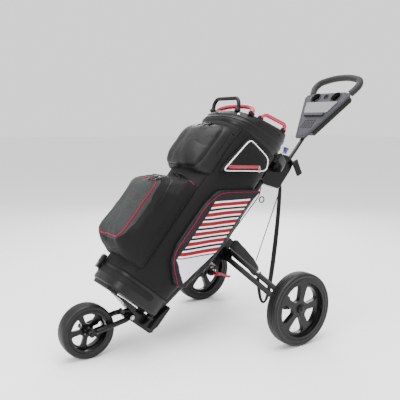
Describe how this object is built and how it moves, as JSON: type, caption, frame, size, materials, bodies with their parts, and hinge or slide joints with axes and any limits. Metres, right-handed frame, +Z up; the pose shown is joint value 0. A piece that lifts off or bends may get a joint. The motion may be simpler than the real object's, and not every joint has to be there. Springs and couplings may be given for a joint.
{
  "type": "golf bag on a push cart",
  "caption": "Three-wheel push cart with a leaning golf bag, folding rear legs and front fork, a foot brake, and a folding handle with a scorecard console.",
  "frame": {"origin": "on the ground, below the centre of the whole object, with the cart standing on its three wheels", "axes": "+Z up, the front wheel towards -Y, the handle towards +Y, +X is the left of someone who pushes the cart"},
  "size_m": [0.7388, 1.4373, 1.0972],
  "materials": {
    "card": "satin light grey",
    "console": "satin grey",
    "fabric": "woven polyester",
    "foam": "foam",
    "frame": "satin black coat",
    "plastic": "moulded black",
    "purple": "satin purple",
    "red": "satin red",
    "steel": "plated",
    "tyre": "matte"
  },
  "bodies": {
    "cart_and_bag": {"bag_base": "plastic", "bag_body": "fabric", "bag_collar": "plastic", "ball_pocket": "fabric", "base_strap": "fabric", "club_divider": "plastic", "cooler_pocket": "fabric", "front_bungee": "fabric", "front_handle": "plastic", "front_tube": "frame", "hinge_bolt": "steel", "left_apparel_pocket": "fabric", "left_bag_arm": "plastic", "left_cradle_arm": "plastic", "leg_hub": "plastic", "lower_bracket": "plastic", "main_tube": "frame", "rear_bungee": "fabric", "red_mouth_handle": "red", "right_apparel_pocket": "fabric", "right_bag_arm": "plastic", "right_cradle_arm": "plastic", "shoulder_strap": "fabric", "side_handle": "red", "strap_pad": "fabric", "towel_ring": "steel", "upper_housing": "plastic", "valuables_pocket": "fabric"},
    "front_fork": {"front_fork": "frame", "left_fork_plate": "steel", "right_fork_plate": "steel", "front_axle": "steel"},
    "front_wheel": {"front_tyre": "tyre", "front_rim": "plastic"},
    "handle": {"handle_tube": "frame", "console_top": "console", "console_tray": "plastic", "left_ball_cup": "plastic", "right_ball_cup": "plastic", "handle_grip": "foam"},
    "card_lid": {"card_lid": "card"},
    "clamp_lever": {"clamp_lever": "plastic"},
    "tension_knob": {"tension_knob": "purple"},
    "brake_pedal": {"brake_pedal": "red"},
    "brake_pin": {"brake_pin": "steel"},
    "left_upper_bar": {"left_leg_upper_bar": "frame"},
    "left_lower_bar": {"left_leg_lower_bar": "frame"},
    "left_wheel_carrier": {"left_wheel_bracket": "frame", "left_rear_axle": "steel"},
    "left_wheel": {"left_tyre": "tyre", "left_rim": "plastic", "left_hub_cap": "plastic"},
    "right_upper_bar": {"right_leg_upper_bar": "frame"},
    "right_lower_bar": {"right_leg_lower_bar": "frame"},
    "right_wheel_carrier": {"right_wheel_bracket": "frame", "right_rear_axle": "steel", "brake_housing": "plastic"},
    "right_wheel": {"right_tyre": "tyre", "right_rim": "plastic", "right_hub_cap": "plastic"}
  },
  "joints": [
    {"name": "front_fork_fold", "type": "hinge", "parent": "cart_and_bag", "child": "front_fork", "pos_m": [0, -0.452, 0.134], "axis": [1, 0, 0], "range_deg": [0, 70]},
    {"name": "front_wheel_spin", "type": "hinge", "parent": "front_fork", "child": "front_wheel", "pos_m": [0, -0.616, 0.1026], "axis": [1, 0, 0], "continuous": true},
    {"name": "left_leg_fold", "type": "hinge", "parent": "cart_and_bag", "child": "left_upper_bar", "pos_m": [0.05, 0.003, 0.332], "axis": [-0.4334, 0.9012, 0], "range_deg": [0, 50]},
    {"name": "left_lower_bar_swing", "type": "hinge", "parent": "cart_and_bag", "child": "left_lower_bar", "pos_m": [0.05, 0.003, 0.304], "axis": [-0.4334, 0.9012, 0], "range_deg": [0, 50]},
    {"name": "left_carrier_swing", "type": "hinge", "parent": "left_upper_bar", "child": "left_wheel_carrier", "pos_m": [0.285, 0.116, 0.169], "axis": [-0.4334, 0.9012, 0], "range_deg": [-50, 0]},
    {"name": "left_wheel_spin", "type": "hinge", "parent": "left_wheel_carrier", "child": "left_wheel", "pos_m": [0.3414, 0.128, 0.146], "axis": [1, 0, 0], "continuous": true},
    {"name": "right_leg_fold", "type": "hinge", "parent": "cart_and_bag", "child": "right_upper_bar", "pos_m": [-0.05, 0.003, 0.332], "axis": [-0.4334, -0.9012, 0], "range_deg": [0, 50]},
    {"name": "right_lower_bar_swing", "type": "hinge", "parent": "cart_and_bag", "child": "right_lower_bar", "pos_m": [-0.05, 0.003, 0.304], "axis": [-0.4334, -0.9012, 0], "range_deg": [0, 50]},
    {"name": "right_carrier_swing", "type": "hinge", "parent": "right_upper_bar", "child": "right_wheel_carrier", "pos_m": [-0.285, 0.116, 0.169], "axis": [-0.4334, -0.9012, 0], "range_deg": [-50, 0]},
    {"name": "right_wheel_spin", "type": "hinge", "parent": "right_wheel_carrier", "child": "right_wheel", "pos_m": [-0.3414, 0.128, 0.146], "axis": [1, 0, 0], "continuous": true},
    {"name": "handle_fold", "type": "hinge", "parent": "cart_and_bag", "child": "handle", "pos_m": [0, 0.367, 0.696], "axis": [-1, 0, 0], "range_deg": [-5, 60]},
    {"name": "card_lid_hinge", "type": "hinge", "parent": "handle", "child": "card_lid", "pos_m": [0, 0.57277, 0.96525], "axis": [-1, 0, 0], "range_deg": [0, 100]},
    {"name": "clamp_lever_swing", "type": "hinge", "parent": "cart_and_bag", "child": "clamp_lever", "pos_m": [0.0415, 0.371, 0.695], "axis": [0, -0.891, -0.454], "range_deg": [0, 110]},
    {"name": "tension_knob_turn", "type": "hinge", "parent": "cart_and_bag", "child": "tension_knob", "pos_m": [0, 0.34444, 0.73196], "axis": [0, 0.4384, 0.8988], "continuous": true},
    {"name": "brake_pedal_press", "type": "hinge", "parent": "right_wheel_carrier", "child": "brake_pedal", "pos_m": [-0.27, 0.162, 0.139], "axis": [-1, 0, 0], "range_deg": [0, 20]},
    {"name": "brake_pin_slide", "type": "slide", "parent": "right_wheel_carrier", "child": "brake_pin", "axis": [-1, 0, 0], "range_m": [0, 0.0102]}
  ],
  "couplings": [
    {"joint": "left_lower_bar_swing", "follows": "left_leg_fold", "ratio": 1},
    {"joint": "left_carrier_swing", "follows": "left_leg_fold", "ratio": -1},
    {"joint": "right_lower_bar_swing", "follows": "right_leg_fold", "ratio": 1},
    {"joint": "right_carrier_swing", "follows": "right_leg_fold", "ratio": -1},
    {"joint": "brake_pin_slide", "follows": "brake_pedal_press", "m_per_rad": 0.02865}
  ]
}
